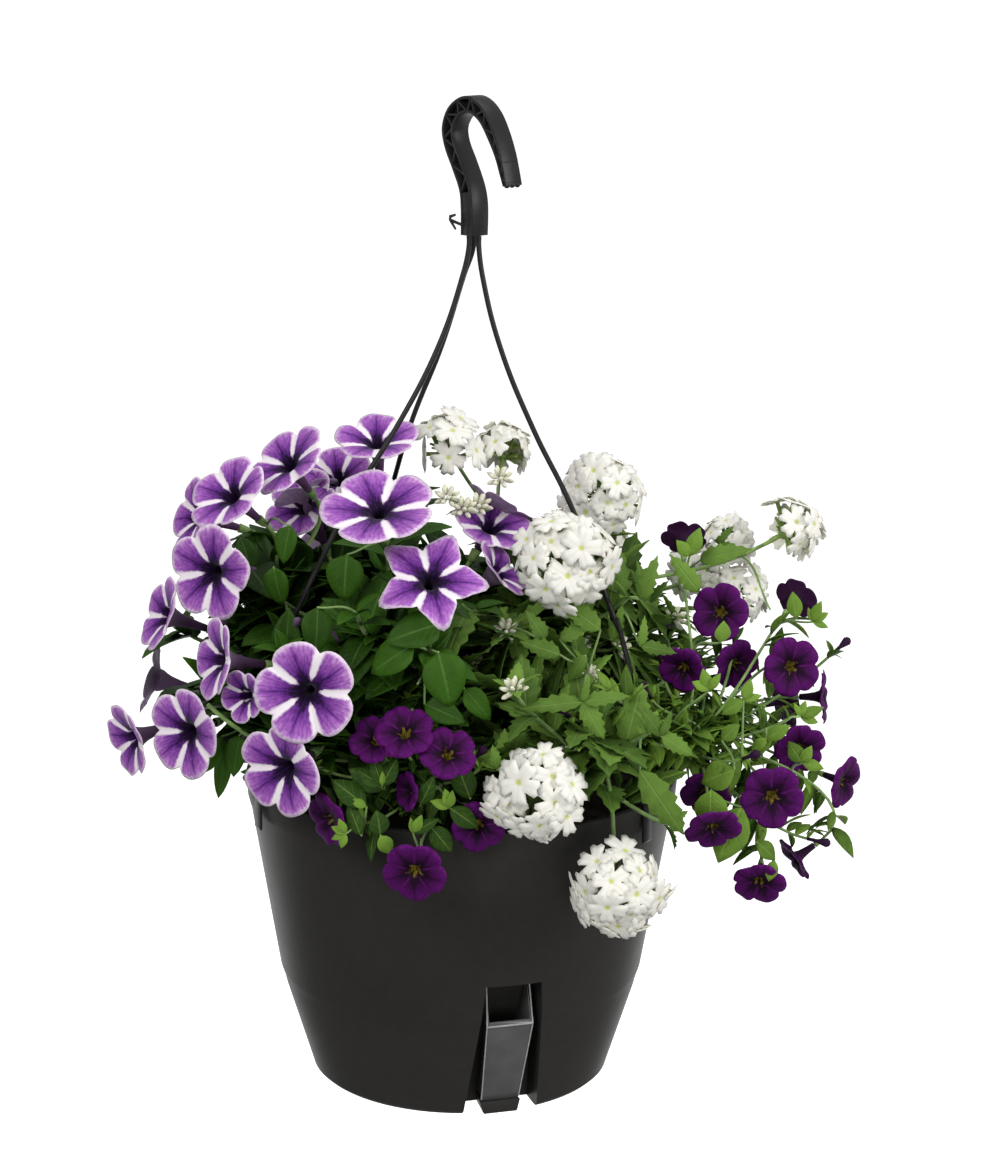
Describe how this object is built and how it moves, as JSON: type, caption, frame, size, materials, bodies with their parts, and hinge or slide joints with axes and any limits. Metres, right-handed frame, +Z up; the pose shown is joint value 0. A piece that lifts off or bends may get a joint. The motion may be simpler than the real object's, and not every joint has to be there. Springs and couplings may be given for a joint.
{
  "type": "petunia hanging basket",
  "caption": "Round charcoal hanging pot with a filling spout and arms rising to a ribbed hook, planted with violet petunias, small dark calibrachoas and white verbenas.",
  "frame": {"origin": "the saddle of the hook, the lowest point of the inside of its bend, where it rests on a rail", "axes": "+Z is up, along the hanging line; the camera of the picture looks along +Y, so the side it shows faces -Y and +X is to its right"},
  "size_m": [0.4618, 0.3439, 0.6107],
  "materials": {
    "pot_plastic": "satin charcoal moulded polypropylene",
    "spout_plastic": "cloudy grey see-through moulding",
    "hanger_plastic": "satin black moulded polypropylene",
    "peat": "damp dark potting compost",
    "petunia_leaf": "soft hairy green leaf and stem",
    "verbena_leaf": "grey-green toothed leaf and stem",
    "petunia_petal": "velvety violet with a dark throat and a pale star",
    "calibrachoa_petal": "velvety dark purple",
    "verbena_petal": "soft warm white"
  },
  "bodies": {
    "root": {"arm_back": "hanger_plastic", "arm_left": "hanger_plastic", "arm_right": "hanger_plastic", "calibrachoa_01": "calibrachoa_petal", "calibrachoa_04": "calibrachoa_petal", "calibrachoa_05": "calibrachoa_petal", "calibrachoa_06": "calibrachoa_petal", "calibrachoa_07": "calibrachoa_petal", "calibrachoa_08": "calibrachoa_petal", "calibrachoa_09": "calibrachoa_petal", "calibrachoa_10": "calibrachoa_petal", "calibrachoa_11": "calibrachoa_petal", "calibrachoa_12": "calibrachoa_petal", "calibrachoa_13": "calibrachoa_petal", "calibrachoa_14": "calibrachoa_petal", "calibrachoa_15": "calibrachoa_petal", "false_floor": "pot_plastic", "hook": "hanger_plastic", "petunia_01": "petunia_petal", "petunia_02": "petunia_petal", "petunia_03": "petunia_petal", "petunia_04": "petunia_petal", "petunia_05": "petunia_petal", "petunia_06": "petunia_petal", "petunia_07": "petunia_petal", "petunia_08": "petunia_petal", "petunia_09": "petunia_petal", "petunia_10": "petunia_petal", "petunia_11": "petunia_petal", "petunia_12": "petunia_petal", "petunia_13": "petunia_petal", "petunia_14": "petunia_petal", "petunia_15": "petunia_petal", "petunia_16": "petunia_petal", "petunia_17": "petunia_petal", "petunia_18": "petunia_petal", "petunia_19": "petunia_petal", "pot": "pot_plastic", "shoot_back": "petunia_leaf", "shoot_centre": "petunia_leaf", "shoot_crown": "verbena_leaf", "shoot_drape": "verbena_leaf", "shoot_front": "petunia_leaf", "shoot_high": "petunia_leaf", "shoot_low": "petunia_leaf", "shoot_rear": "verbena_leaf", "shoot_right": "petunia_leaf", "soil": "peat", "spout": "spout_plastic", "spout_foot": "pot_plastic", "verbena_head_01": "verbena_petal", "verbena_head_02": "verbena_petal", "verbena_head_03": "verbena_petal", "verbena_head_04": "verbena_petal", "verbena_head_05": "verbena_petal", "verbena_head_06": "verbena_petal", "verbena_head_07": "verbena_petal", "verbena_head_09": "verbena_petal", "verbena_head_10": "verbena_petal", "verbena_head_11": "verbena_petal"}
  },
  "joints": []
}
